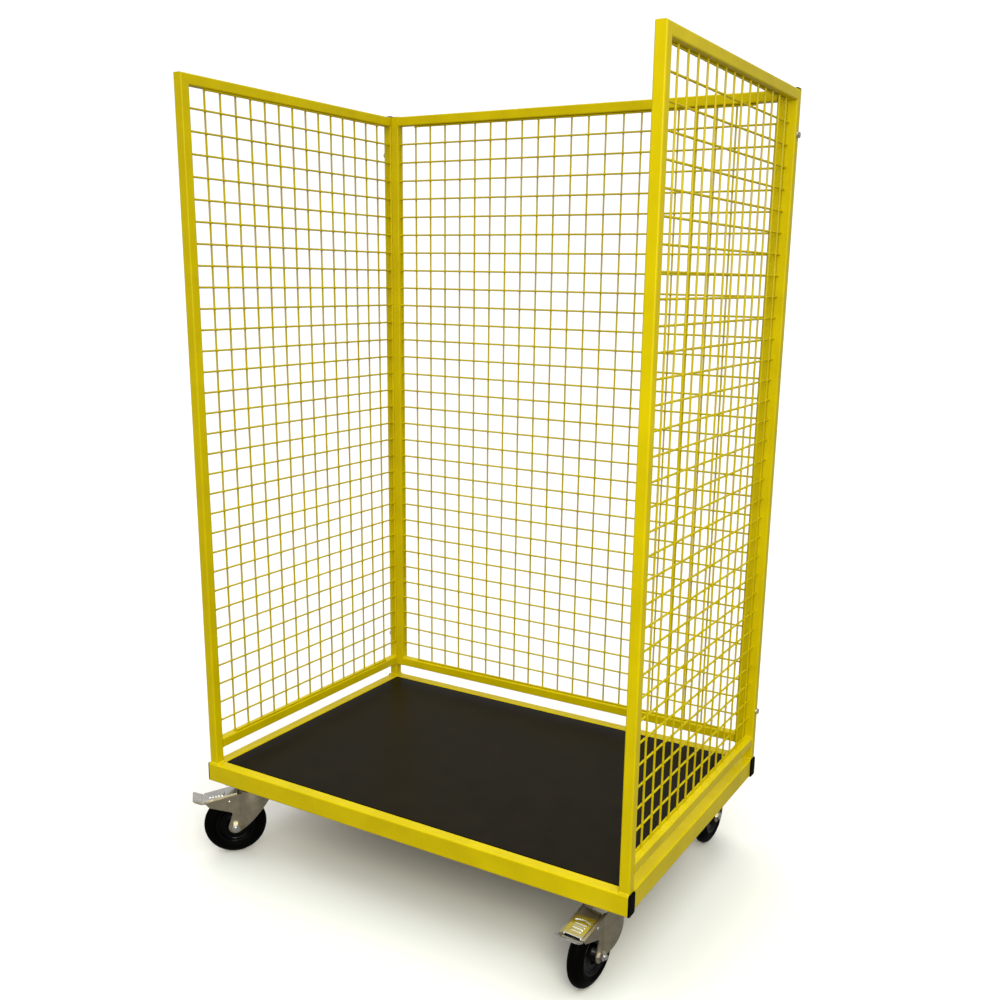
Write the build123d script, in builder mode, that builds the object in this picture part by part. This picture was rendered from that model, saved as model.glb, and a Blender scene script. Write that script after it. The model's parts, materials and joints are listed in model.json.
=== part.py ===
from build123d import *
from math import acos, atan2, cos, hypot, radians, sin
import os

# Open-sided mesh trolley, in millimetres: X to the right, Y to the back, Z up.
# The floor is at Z = 0, under the middle of the base frame.

# Base frame: upright rectangular tube, the front and rear rails run full width
BASE_WIDTH = 1205
BASE_DEPTH = 810
BASE_UNDER = 200
RAIL_HEIGHT = 50
RAIL_WIDTH = 30
RAIL_WALL = 2
RAIL_ROUND = 4
BASE_TOP = BASE_UNDER + RAIL_HEIGHT
RAIL_Y = (BASE_DEPTH - RAIL_WIDTH) / 2
RAIL_X = (BASE_WIDTH - RAIL_WIDTH) / 2
INNER_DEPTH = BASE_DEPTH - 2 * RAIL_WIDTH
INNER_WIDTH = BASE_WIDTH - 2 * RAIL_WIDTH

# Plastic plugs in the open tube ends
PLUG_PLAY = 0.1
RAIL_CAP_PROUD = 4
RAIL_CAP_BEVEL = 2
RAIL_PLUG_DEPTH = 15
POST_CAP_SIDE = 24.4
POST_CAP_PROUD = 4.5
POST_CAP_BEVEL = 2
FLUSH_CAP_PROUD = 1
FLUSH_CAP_BEVEL = 0.5
POST_PLUG_DEPTH = 12

# Deck board, carried by three bearers and screwed on from below
DECK_THICKNESS = 18
DECK_GAP = 3
DECK_DROP = 1
DECK_TOP = BASE_TOP - DECK_DROP
BEARER_SIZE = 30
BEARER_SPACING = 360
BEARER_COUNT = 3
SCREW_ROWS = 2
BEARER_TOP = DECK_TOP - DECK_THICKNESS
BEARER_UNDER = BEARER_TOP - BEARER_SIZE
SCREW_RADIUS = 2.5
SCREW_HEAD_RADIUS = 5.5
SCREW_HEAD_HEIGHT = 3
SCREW_BITE = 12
SCREW_SPACING = 480

# Cage panels: square tube, side panels outside, rear panel between them
TUBE = 25
TUBE_WALL = 1.5
TUBE_ROUND = 3.5
SIDE_X = 590
FRONT_POST_Y = -387.5
REAR_POST_Y = 392.5
PANEL_UNDER = 288
POST_TOP = 1938
SIDE_INSIDE_FRONT = FRONT_POST_Y + TUBE / 2
SIDE_INSIDE_REAR = REAR_POST_Y - TUBE / 2
REAR_POST_X = SIDE_X - TUBE
REAR_INSIDE = REAR_POST_X - TUBE / 2
OPENING_UNDER = PANEL_UNDER + TUBE
OPENING_TOP = POST_TOP - TUBE

# Welded wire grid: upright wires outside, level wires inside, and a last wire along each rail.
# The left and rear grids also have a last wire along each post; their corner cells are cut out.
# The six-sided section, given across its flats, has the area of a round wire of 4.5
WIRE = 4.3
WIRE_SIDES = 6
PITCH = 50
LAYER = WIRE / 2 + 0.01
WIRE_CORNER = WIRE / 2 / cos(radians(180 / WIRE_SIDES))
MESH_INSET = 5
MESH_X = SIDE_X - MESH_INSET
LEFT_WIRES = 14
LEFT_WIRE_FIRST = SIDE_INSIDE_FRONT + 52.5
RIGHT_WIRES = 15
RIGHT_WIRE_FIRST = SIDE_INSIDE_FRONT + 13.5
REAR_WIRES = 21
REAR_WIRE_FIRST = -(REAR_WIRES - 1) / 2 * PITCH
LEVEL_WIRES = 31
LEVEL_WIRE_FIRST = OPENING_UNDER + 51
LEVEL_WIRE_LAST = LEVEL_WIRE_FIRST + (LEVEL_WIRES - 1) * PITCH

# Bolted joints between the side panels and the rear panel
BOLT_HEIGHTS = (385, 1837)
BOLT_RADIUS = 4
BOLT_HOLE_RADIUS = 4.2
BOLT_HEAD_ACROSS = 13
BOLT_HEAD_HEIGHT = 5.3
BOLT_BITE = 14
WASHER_RADIUS = 8
WASHER_THICKNESS = 1.6
RIVET_NUT_RADIUS = 5.5
RIVET_NUT_LENGTH = 15
THREAD_PLAY = 0.05

# Castors: plates, wheels and axles shared by all four
WHEEL_RADIUS = 80
CORNER_PLATE = (150, 120, 5)
CASTOR_PLATE = (140, 110, 4)
PLATE_ROUND = 8
PLATE_HOLES = (105, 80)
PLATE_HOLE_RADIUS = 5.5
CASTOR_BOLT_RADIUS = 5
CASTOR_BOLT_HEAD_ACROSS = 17
CASTOR_BOLT_HEAD_HEIGHT = 6.4
CORNER_PLATE_UNDER = BASE_UNDER - CORNER_PLATE[2]
PLATE_UNDER = CORNER_PLATE_UNDER - CASTOR_PLATE[2]
SHEET = 3
CHEEK = 27
CHEEK_INSIDE = CHEEK - SHEET
TOE_RADIUS = 18
AXLE_RADIUS = 6
RUNNING_PLAY = 0.05
AXLE_HEAD_ACROSS = 19
AXLE_HEAD_HEIGHT = 7.5
AXLE_NUT_HEIGHT = 10
AXLE_END = 43
END_PLAY = 0.3

# Wheel: crowned solid tyre on a dished rim with a plain bush
TYRE_HALF = 20
TYRE_BAND = 5
TYRE_SHOULDER = (13, 72.5)
TYRE_EDGE_RADIUS = 60
RIM_RADIUS = 50
RIM_HALF = 16
DISH = (9, 40)
HUB_RADIUS = 17
BUSH_RADIUS = 11
HUB_HALF = CHEEK_INSIDE - END_PLAY

# Front castors swivel and brake, rear castors are fixed and roll along Y
FRONT_CASTOR = (514, -334)
REAR_CASTOR = (504, 345)
TRAIL = 53
LEFT_HEADING = -134
RIGHT_HEADING = -94.5
REAR_HEADING = 90

# Swivel head and pressed fork of a front castor, measured from the swivel axis
RACE_RADIUS = 40
RACE_DEPTH = 8
RACE_UNDER = PLATE_UNDER - RACE_DEPTH
KINGPIN_RADIUS = 7
KINGPIN_HEAD_RADIUS = 11
KINGPIN_END = 172
CROWN_TOP = 181
CROWN_BOSS_RADIUS = 34
NOSE_RADIUS = 46
NECK = 41
CROWN_EDGE = 32
NOSE_FRONT = (-60, 177.5)
LEG_FRONT = (39.5, 68)
LEG_REAR = (70.8, 83)
NOTCH = (58, 121)
NOTCH_ROUND = 7
ARM_UNDER = (117, 141)
ARM_TIP = (130, 156.5)
ARM_ROOT = (34, 174.5)
FLANGE_START = 38
FLANGE_WIDTH = 4
FLANGE_THICKNESS = 2.5

# Brake pedal between the fork's arms, shown released
PEDAL_PIVOT = (66, 152)
PEDAL_STROKE = 8
PEDAL_SHEET = 2.5
PEDAL_HALF = 23.4
PAD_START = (44, 175.6)
PAD_END = (128, 160)
STEP_FOOT = (131, 153.5)
LIP_END = (157, 166)
LIP_HALF = 30
PEDAL_BEND = 2
EAR_INSIDE = 19.5
EAR_THICKNESS = 3
EAR_TOP = ((56, 172), (86, 166.5))
EAR_RADIUS = 7
RIVET_RADIUS = 3
RIVET_INSIDE = 19
RIVET_HEAD_RADIUS = 5
RIVET_HEAD_HEIGHT = 1.8
SHOE_SPAN = (78, 104)
SHOE_HALF = 9
SHOE_PLAY = 0.5

# Fixed fork of a rear castor, measured from the wheel's middle
FIXED_LEG_TOP_HALF = 48

os.makedirs("parts", exist_ok=True)


def save(part, name):
    """Label a finished piece and write it under its own name."""
    part.label = name
    export_step(part, f"parts/{name}.step")


def rail_section():
    """Section of the base tube, upright along the sketch's own Y."""
    RectangleRounded(RAIL_WIDTH, RAIL_HEIGHT, RAIL_ROUND)
    Rectangle(RAIL_WIDTH - 2 * RAIL_WALL, RAIL_HEIGHT - 2 * RAIL_WALL, mode=Mode.SUBTRACT)


def tube_section():
    """Section of the square panel tube."""
    RectangleRounded(TUBE, TUBE, TUBE_ROUND)
    Rectangle(TUBE - 2 * TUBE_WALL, TUBE - 2 * TUBE_WALL, mode=Mode.SUBTRACT)


def across(x, y, z):
    """Plane whose normal is +X, with Y and Z as its own axes."""
    return Plane((x, y, z), x_dir=(0, 1, 0), z_dir=(1, 0, 0))


def along(x, y, z):
    """Plane whose normal is -Y, with X and Z as its own axes."""
    return Plane((x, y, z), x_dir=(1, 0, 0), z_dir=(0, -1, 0))


def spaced(first, count):
    """Places of wires, one pitch apart from the first."""
    return [first + PITCH * step for step in range(count)]


def wire_ends(plane, spots, turn=30):
    """Ends of wires at spots of a plane, turned so that crossing wires lie flat on each other."""
    with BuildSketch(plane) as ends:
        with Locations(*spots):
            RegularPolygon(WIRE / 2, WIRE_SIDES, major_radius=False, rotation=turn)
    return ends.sketch


# Base rails
rail_middle = (BASE_UNDER + BASE_TOP) / 2
for name, y in (("base_front_rail", -RAIL_Y), ("base_rear_rail", RAIL_Y)):
    with BuildPart() as long_rail:
        with BuildSketch(across(-BASE_WIDTH / 2, y, rail_middle)):
            rail_section()
        extrude(amount=BASE_WIDTH)
    save(long_rail.part, name)

for name, x in (("base_left_rail", -RAIL_X), ("base_right_rail", RAIL_X)):
    with BuildPart() as short_rail:
        with BuildSketch(along(x, INNER_DEPTH / 2, rail_middle)):
            rail_section()
        extrude(amount=INNER_DEPTH)
    save(short_rail.part, name)

# Domed plugs in the four rail ends
with BuildPart() as base_rail_end_caps:
    for end in (-1, 1):
        for y in (-RAIL_Y, RAIL_Y):
            face = across(end * BASE_WIDTH / 2, y, rail_middle)
            with BuildSketch(face):
                RectangleRounded(RAIL_WIDTH, RAIL_HEIGHT, RAIL_ROUND)
            extrude(amount=end * RAIL_CAP_PROUD)
            with BuildSketch(face):
                inside = 2 * (RAIL_WALL + PLUG_PLAY)
                Rectangle(RAIL_WIDTH - inside, RAIL_HEIGHT - inside)
            extrude(amount=-end * RAIL_PLUG_DEPTH)
    cap_faces = base_rail_end_caps.faces().sort_by(Axis.X)
    chamfer(cap_faces[:2].edges() + cap_faces[-2:].edges(), RAIL_CAP_BEVEL)
save(base_rail_end_caps.part, "base_rail_end_caps")

# Deck board with pilot holes in its underside, its bearers and their screws
screw_spots = GridLocations(BEARER_SPACING, SCREW_SPACING, BEARER_COUNT, SCREW_ROWS)

with BuildPart() as deck_board:
    with BuildSketch(Plane.XY.offset(BEARER_TOP)):
        Rectangle(INNER_WIDTH - 2 * DECK_GAP, INNER_DEPTH - 2 * DECK_GAP)
    extrude(amount=DECK_THICKNESS)
    with BuildSketch(Plane.XY.offset(BEARER_TOP)):
        with screw_spots:
            Circle(SCREW_RADIUS + THREAD_PLAY)
    extrude(amount=SCREW_BITE, mode=Mode.SUBTRACT)
save(deck_board.part, "deck_board")

with BuildPart() as deck_bearers:
    with BuildSketch(along(0, INNER_DEPTH / 2, BEARER_TOP - BEARER_SIZE / 2)):
        with GridLocations(BEARER_SPACING, 0, BEARER_COUNT, 1):
            Rectangle(BEARER_SIZE, BEARER_SIZE)
            Rectangle(BEARER_SIZE - 2 * RAIL_WALL, BEARER_SIZE - 2 * RAIL_WALL, mode=Mode.SUBTRACT)
    extrude(amount=INNER_DEPTH)
    with BuildSketch(Plane.XY.offset(BEARER_UNDER)):
        with screw_spots:
            Circle(SCREW_RADIUS + THREAD_PLAY)
    extrude(amount=BEARER_SIZE, mode=Mode.SUBTRACT)
save(deck_bearers.part, "deck_bearers")

with BuildPart() as deck_screws:
    with BuildSketch(Plane.XY.offset(BEARER_UNDER - SCREW_HEAD_HEIGHT)):
        with screw_spots:
            Circle(SCREW_HEAD_RADIUS)
    extrude(amount=SCREW_HEAD_HEIGHT)
    with BuildSketch(Plane.XY.offset(BEARER_UNDER)):
        with screw_spots:
            Circle(SCREW_RADIUS)
    extrude(amount=BEARER_SIZE + SCREW_BITE - 1)
save(deck_screws.part, "deck_screws")

# Side panels: the top rail is mitred into the front post and butts on the rear post
mitre = Plane((0, FRONT_POST_Y - TUBE / 2, POST_TOP), x_dir=(1, 0, 0), z_dir=(0, 1, 1))
level_rows = [(0, z) for z in spaced(LEVEL_WIRE_FIRST, LEVEL_WIRES)]
rail_rows = [(0, OPENING_UNDER + WIRE_CORNER), (0, OPENING_TOP - WIRE_CORNER)]
side_panels = (
    ("left", -1, spaced(LEFT_WIRE_FIRST, LEFT_WIRES)),
    ("right", 1, spaced(RIGHT_WIRE_FIRST, RIGHT_WIRES)),
)
for side, hand, uprights in side_panels:
    x = hand * SIDE_X

    with BuildPart() as front_post:
        with BuildSketch(Plane((x, FRONT_POST_Y, BASE_TOP))):
            tube_section()
        extrude(amount=POST_TOP - BASE_TOP)
        split(bisect_by=mitre, keep=Keep.BOTTOM)
    save(front_post.part, f"{side}_front_post")

    with BuildPart() as rear_post:
        with BuildSketch(Plane((x, REAR_POST_Y, BASE_TOP))):
            tube_section()
        extrude(amount=POST_TOP - BASE_TOP)
        with BuildSketch(across(x, REAR_POST_Y, 0)):
            with Locations(*((0, z) for z in BOLT_HEIGHTS)):
                Circle(BOLT_HOLE_RADIUS)
        extrude(amount=TUBE, both=True, mode=Mode.SUBTRACT)
    save(rear_post.part, f"{side}_rear_post")

    with BuildPart() as top_rail:
        with BuildSketch(along(x, SIDE_INSIDE_REAR, POST_TOP - TUBE / 2)):
            tube_section()
        extrude(amount=SIDE_INSIDE_REAR - SIDE_INSIDE_FRONT + TUBE)
        split(bisect_by=mitre, keep=Keep.TOP)
    save(top_rail.part, f"{side}_top_rail")

    with BuildPart() as bottom_rail:
        with BuildSketch(along(x, SIDE_INSIDE_REAR, PANEL_UNDER + TUBE / 2)):
            tube_section()
        extrude(amount=SIDE_INSIDE_REAR - SIDE_INSIDE_FRONT)
    save(bottom_rail.part, f"{side}_bottom_rail")

    with BuildPart() as side_mesh:
        first, last = uprights[0], uprights[-1]
        upright_x = hand * (MESH_X + LAYER)
        level_x = hand * (MESH_X - LAYER)
        ends = wire_ends(Plane((upright_x, 0, OPENING_UNDER)), [(0, y) for y in uprights])
        extrude(ends, amount=OPENING_TOP - OPENING_UNDER)
        if side == "left":
            beside_posts = [(0, first - PITCH), (0, last + PITCH)]
            ends = wire_ends(Plane((upright_x, 0, LEVEL_WIRE_FIRST)), beside_posts)
            extrude(ends, amount=LEVEL_WIRE_LAST - LEVEL_WIRE_FIRST)
        ends = wire_ends(along(level_x, SIDE_INSIDE_REAR, 0), level_rows)
        extrude(ends, amount=SIDE_INSIDE_REAR - SIDE_INSIDE_FRONT)
        ends = wire_ends(along(level_x, last, 0), rail_rows)
        extrude(ends, amount=last - first)
    save(side_mesh.part, f"{side}_mesh")

# Rear panel: full-height posts with both rails between them
for side, hand in (("left", -1), ("right", 1)):
    with BuildPart() as panel_post:
        with BuildSketch(Plane((hand * REAR_POST_X, REAR_POST_Y, PANEL_UNDER))):
            tube_section()
        extrude(amount=POST_TOP - PANEL_UNDER)
        with BuildSketch(across(hand * (SIDE_X - TUBE / 2), REAR_POST_Y, 0)):
            with Locations(*((0, z) for z in BOLT_HEIGHTS)):
                Circle(RIVET_NUT_RADIUS)
        extrude(amount=-hand * 2 * TUBE_WALL, mode=Mode.SUBTRACT)
    save(panel_post.part, f"rear_{side}_post")

for name, z in (("rear_top_rail", POST_TOP - TUBE / 2), ("rear_bottom_rail", PANEL_UNDER + TUBE / 2)):
    with BuildPart() as panel_rail:
        with BuildSketch(across(-REAR_INSIDE, REAR_POST_Y, z)):
            tube_section()
        extrude(amount=2 * REAR_INSIDE)
    save(panel_rail.part, name)

with BuildPart() as rear_mesh:
    uprights = spaced(REAR_WIRE_FIRST, REAR_WIRES)
    upright_y = REAR_POST_Y + LAYER
    level_y = REAR_POST_Y - LAYER
    ends = wire_ends(Plane((0, upright_y, OPENING_UNDER)), [(x, 0) for x in uprights], turn=0)
    extrude(ends, amount=OPENING_TOP - OPENING_UNDER)
    beside_posts = [(uprights[0] - PITCH, 0), (uprights[-1] + PITCH, 0)]
    ends = wire_ends(Plane((0, upright_y, LEVEL_WIRE_FIRST)), beside_posts, turn=0)
    extrude(ends, amount=LEVEL_WIRE_LAST - LEVEL_WIRE_FIRST)
    extrude(wire_ends(across(-REAR_INSIDE, level_y, 0), level_rows), amount=2 * REAR_INSIDE)
    extrude(wire_ends(across(uprights[0], level_y, 0), rail_rows), amount=uprights[-1] - uprights[0])
save(rear_mesh.part, "rear_mesh")

# Square plugs in the open post ends: domed on the side panels, nearly flush on the rear panel
post_ends = [(x, POST_TOP, 1, POST_CAP_PROUD) for x in (-SIDE_X, SIDE_X)]
for x in (-REAR_POST_X, REAR_POST_X):
    post_ends += [(x, POST_TOP, 1, FLUSH_CAP_PROUD), (x, PANEL_UNDER, -1, FLUSH_CAP_PROUD)]
with BuildPart() as post_caps:
    for x, z, way, proud in post_ends:
        face = Plane((x, REAR_POST_Y, z))
        with BuildSketch(face):
            RectangleRounded(POST_CAP_SIDE, POST_CAP_SIDE, TUBE_ROUND)
        extrude(amount=way * proud)
        with BuildSketch(face):
            plug_side = TUBE - 2 * (TUBE_WALL + PLUG_PLAY)
            Rectangle(plug_side, plug_side)
        extrude(amount=-way * POST_PLUG_DEPTH)
    level_faces = post_caps.faces().filter_by(Plane.XY).sort_by(Axis.Z)
    chamfer(level_faces[:2].edges() + level_faces[-4:-2].edges(), FLUSH_CAP_BEVEL)
    level_faces = post_caps.faces().filter_by(Plane.XY).sort_by(Axis.Z)
    chamfer(level_faces[-2:].edges(), POST_CAP_BEVEL)
save(post_caps.part, "post_caps")

# Bolts, washers and rivet nuts of the panel joints
joint_spots = [(hand, z) for hand in (-1, 1) for z in BOLT_HEIGHTS]
outer_face = SIDE_X + TUBE / 2
inner_face = SIDE_X - TUBE / 2

with BuildPart() as panel_bolts:
    for hand, z in joint_spots:
        seat = across(hand * (outer_face + WASHER_THICKNESS), REAR_POST_Y, z)
        with BuildSketch(seat):
            RegularPolygon(BOLT_HEAD_ACROSS / 2, 6, major_radius=False)
        extrude(amount=hand * BOLT_HEAD_HEIGHT)
        with BuildSketch(seat):
            Circle(BOLT_RADIUS)
        extrude(amount=-hand * (WASHER_THICKNESS + TUBE + BOLT_BITE))
save(panel_bolts.part, "panel_bolts")

with BuildPart() as panel_washers:
    for hand, z in joint_spots:
        with BuildSketch(across(hand * outer_face, REAR_POST_Y, z)):
            Circle(WASHER_RADIUS)
            Circle(BOLT_HOLE_RADIUS, mode=Mode.SUBTRACT)
        extrude(amount=hand * WASHER_THICKNESS)
save(panel_washers.part, "panel_washers")

with BuildPart() as panel_rivet_nuts:
    for hand, z in joint_spots:
        with BuildSketch(across(hand * inner_face, REAR_POST_Y, z)):
            Circle(RIVET_NUT_RADIUS - THREAD_PLAY)
            Circle(BOLT_RADIUS + THREAD_PLAY, mode=Mode.SUBTRACT)
        extrude(amount=-hand * RIVET_NUT_LENGTH)
save(panel_rivet_nuts.part, "panel_rivet_nuts")

# Plates under the base corners and the bolts that hold the castors to them
castor_spots = [(hand * x, y) for x, y in (FRONT_CASTOR, REAR_CASTOR) for hand in (-1, 1)]
plate_holes = GridLocations(*PLATE_HOLES, 2, 2)

with BuildPart() as corner_plates:
    for x, y in castor_spots:
        with BuildSketch(Plane((x, y, CORNER_PLATE_UNDER))):
            Rectangle(CORNER_PLATE[0], CORNER_PLATE[1])
            with plate_holes:
                Circle(CASTOR_BOLT_RADIUS + THREAD_PLAY, mode=Mode.SUBTRACT)
        extrude(amount=CORNER_PLATE[2])
save(corner_plates.part, "corner_plates")

with BuildPart() as castor_bolts:
    for x, y in castor_spots:
        with BuildSketch(Plane((x, y, PLATE_UNDER))):
            with plate_holes:
                RegularPolygon(CASTOR_BOLT_HEAD_ACROSS / 2, 6, major_radius=False)
        extrude(amount=-CASTOR_BOLT_HEAD_HEIGHT)
        with BuildSketch(Plane((x, y, PLATE_UNDER))):
            with plate_holes:
                Circle(CASTOR_BOLT_RADIUS)
        extrude(amount=CASTOR_PLATE[2] + CORNER_PLATE[2] - 0.5)
save(castor_bolts.part, "castor_bolts")


def castor_plane(x, y, heading):
    """Floor plane of a castor, with its own X along the fork's trail."""
    turn = radians(heading)
    return Plane((x, y, 0), x_dir=(cos(turn), sin(turn), 0), z_dir=(0, 0, 1))


def side_view(castor):
    """Plane through the castor's middle, with the trail and the height as its axes."""
    return Plane(castor.origin, x_dir=castor.x_dir, z_dir=-castor.y_dir)


def axle_section(castor, trail):
    """Plane through the axle, with the axle and the wheel's radius as its axes."""
    middle = castor.from_local_coords(Vector(trail, 0, WHEEL_RADIUS))
    return Plane(middle, x_dir=castor.y_dir, z_dir=castor.x_dir)


def turned(profile, castor, trail):
    """Turn a profile of (place along the axle, radius) points about the axle."""
    plane = axle_section(castor, trail)
    with BuildPart() as ring:
        with BuildSketch(plane):
            with BuildLine():
                Polyline(*profile, close=True)
            make_face()
        revolve(axis=Axis(plane.origin, plane.x_dir))
    return ring.part


def both_sides(half):
    """A profile's outer points, given on one side, mirrored to the other."""
    return [(-w, r) for w, r in half] + [(w, r) for w, r in reversed(half)]


def save_wheel(name, castor, trail):
    """Tyre, rim and bush of one wheel."""
    tread = [(RIM_HALF, RIM_RADIUS), (TYRE_HALF, TYRE_EDGE_RADIUS), TYRE_SHOULDER, (TYRE_BAND, WHEEL_RADIUS)]
    dish = [(HUB_HALF, BUSH_RADIUS), (HUB_HALF, HUB_RADIUS), DISH, (RIM_HALF, RIM_RADIUS)]
    bush = [(HUB_HALF, AXLE_RADIUS + RUNNING_PLAY), (HUB_HALF, BUSH_RADIUS)]
    save(turned(both_sides(tread), castor, trail), f"{name}_tyre")
    save(turned(both_sides(dish), castor, trail), f"{name}_rim")
    save(turned(both_sides(bush), castor, trail), f"{name}_bush")


def axle_bolt(castor, trail):
    """Hexagon bolt through both cheeks, with its head on the far side."""
    face = side_view(castor)
    with BuildPart() as bolt:
        with BuildSketch(face.offset(CHEEK)):
            with Locations((trail, WHEEL_RADIUS)):
                RegularPolygon(AXLE_HEAD_ACROSS / 2, 6, major_radius=False)
        extrude(amount=AXLE_HEAD_HEIGHT)
        with BuildSketch(face.offset(CHEEK)):
            with Locations((trail, WHEEL_RADIUS)):
                Circle(AXLE_RADIUS)
        extrude(amount=-CHEEK - AXLE_END)
    return bolt.part


def axle_nut(castor, trail):
    """Nut on the axle bolt's threaded end."""
    with BuildPart() as nut:
        with BuildSketch(side_view(castor).offset(-CHEEK)):
            with Locations((trail, WHEEL_RADIUS)):
                RegularPolygon(AXLE_HEAD_ACROSS / 2, 6, major_radius=False)
                Circle(AXLE_RADIUS + THREAD_PLAY, mode=Mode.SUBTRACT)
        extrude(amount=-AXLE_NUT_HEIGHT)
    return nut.part


def castor_plate_section():
    """Outline of a castor's top plate with its four bolt holes."""
    RectangleRounded(CASTOR_PLATE[0], CASTOR_PLATE[1], PLATE_ROUND)
    with plate_holes:
        Circle(PLATE_HOLE_RADIUS, mode=Mode.SUBTRACT)


def swivel_plate(x, y):
    """Top plate with the upper race and the kingpin, headed below the fork's crown."""
    with BuildPart() as plate:
        with BuildSketch(Plane((x, y, PLATE_UNDER))):
            castor_plate_section()
        extrude(amount=CASTOR_PLATE[2])
        with BuildSketch(Plane((x, y, RACE_UNDER))):
            Circle(RACE_RADIUS)
        extrude(amount=RACE_DEPTH)
        with BuildSketch(Plane((x, y, KINGPIN_END))):
            Circle(KINGPIN_RADIUS)
        extrude(amount=RACE_UNDER - KINGPIN_END)
        with BuildSketch(Plane((x, y, KINGPIN_END))):
            Circle(KINGPIN_HEAD_RADIUS)
        extrude(amount=CROWN_TOP - SHEET - END_PLAY - KINGPIN_END)
    return plate.part


def fork_plan(plane, half, nose):
    """Fork seen from above: a round nose whose flanks draw in to two parallel cheeks."""
    turn = atan2(half, NECK) + acos(nose / hypot(NECK, half))
    touch = (nose * cos(turn), nose * sin(turn))
    mirrored = (touch[0], -touch[1])
    tail = ARM_TIP[0]
    with BuildSketch(plane) as plan:
        with BuildLine():
            Polyline((tail, half), (NECK, half), touch)
            ThreePointArc(touch, (-nose, 0), mirrored)
            Polyline(mirrored, (NECK, -half), (tail, -half), (tail, half))
        make_face()
    return plan.sketch


def swivel_fork(castor):
    """Pressed fork: crown, two legs to the axle, and two arms that carry the pedal."""
    face = side_view(castor)
    under = WHEEL_RADIUS - TOE_RADIUS
    floor = castor.offset(under)
    with BuildPart() as fork:
        extrude(fork_plan(floor, CHEEK, NOSE_RADIUS), amount=CROWN_TOP - under)
        inside = fork_plan(floor, CHEEK_INSIDE, NOSE_RADIUS - SHEET)
        extrude(inside, amount=CROWN_TOP - SHEET - under, mode=Mode.SUBTRACT)
        with BuildSketch(face) as outline:
            with BuildLine():
                Polyline(
                    (NOSE_FRONT[0], CROWN_TOP), (CROWN_EDGE, CROWN_TOP), ARM_ROOT, ARM_TIP,
                    ARM_UNDER, NOTCH, LEG_REAR, LEG_FRONT, NOSE_FRONT, close=True,
                )
            make_face()
            fillet(outline.vertices().sort_by_distance((*NOTCH, 0))[0], NOTCH_ROUND)
            with Locations((TRAIL, WHEEL_RADIUS)):
                Circle(TOE_RADIUS)
        extrude(amount=2 * NOSE_RADIUS, both=True, mode=Mode.INTERSECT)
        # The arms' top edges are turned outwards as narrow flanges
        fall = (ARM_TIP[1] - ARM_ROOT[1]) / (ARM_TIP[0] - ARM_ROOT[0])
        flange_top = ARM_ROOT[1] + fall * (FLANGE_START - ARM_ROOT[0])
        for edge in (CHEEK_INSIDE, -CHEEK - FLANGE_WIDTH):
            with BuildSketch(face.offset(edge)):
                with BuildLine():
                    Polyline(
                        (FLANGE_START, flange_top), ARM_TIP,
                        (ARM_TIP[0], ARM_TIP[1] - FLANGE_THICKNESS),
                        (FLANGE_START, flange_top - FLANGE_THICKNESS), close=True,
                    )
                make_face()
            extrude(amount=SHEET + FLANGE_WIDTH)
        with BuildSketch(castor.offset(CROWN_TOP)):
            Circle(CROWN_BOSS_RADIUS)
        extrude(amount=RACE_UNDER - END_PLAY - CROWN_TOP)
        with BuildSketch(castor.offset(CROWN_TOP - SHEET)):
            Circle(KINGPIN_RADIUS + RUNNING_PLAY)
        extrude(amount=RACE_UNDER - CROWN_TOP + SHEET, mode=Mode.SUBTRACT)
        with BuildSketch(face):
            with Locations((TRAIL, WHEEL_RADIUS)):
                Circle(AXLE_RADIUS + THREAD_PLAY)
            with Locations(PEDAL_PIVOT):
                Circle(RIVET_RADIUS + THREAD_PLAY)
        extrude(amount=2 * NOSE_RADIUS, both=True, mode=Mode.SUBTRACT)
    return fork.part


def pedal_rivets(castor):
    """Two short rivets, one in each cheek, that the pedal turns on."""
    face = side_view(castor)
    with BuildPart() as rivets:
        for way in (-1, 1):
            with BuildSketch(face.offset(way * RIVET_INSIDE)):
                with Locations(PEDAL_PIVOT):
                    Circle(RIVET_RADIUS)
            extrude(amount=way * (CHEEK - RIVET_INSIDE))
            with BuildSketch(face.offset(way * CHEEK)):
                with Locations(PEDAL_PIVOT):
                    Circle(RIVET_HEAD_RADIUS)
            extrude(amount=way * RIVET_HEAD_HEIGHT)
    return rivets.part


def brake_pedal(castor):
    """Pedal: sloping pad, stepped and kicked-up lip, and two ears on the rivets."""
    face = side_view(castor)
    with BuildPart() as pedal:
        with BuildSketch(face):
            with BuildLine():
                FilletPolyline(PAD_START, PAD_END, STEP_FOOT, LIP_END, radius=PEDAL_BEND)
                offset(amount=PEDAL_SHEET, side=Side.RIGHT)
            make_face()
        extrude(amount=PEDAL_HALF, both=True)
        with BuildSketch(face):
            with BuildLine():
                Line(STEP_FOOT, LIP_END)
                offset(amount=PEDAL_SHEET, side=Side.RIGHT)
            make_face()
        extrude(amount=LIP_HALF, both=True)
        for way in (-1, 1):
            with BuildSketch(face.offset(way * EAR_INSIDE)):
                with BuildLine():
                    Polyline(
                        *EAR_TOP, (PEDAL_PIVOT[0] + EAR_RADIUS, PEDAL_PIVOT[1]),
                        (PEDAL_PIVOT[0] - EAR_RADIUS, PEDAL_PIVOT[1]), close=True,
                    )
                make_face()
                with Locations(PEDAL_PIVOT):
                    Circle(EAR_RADIUS)
                    Circle(RIVET_RADIUS + RUNNING_PLAY, mode=Mode.SUBTRACT)
            extrude(amount=way * EAR_THICKNESS)
    return pedal.part


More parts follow.
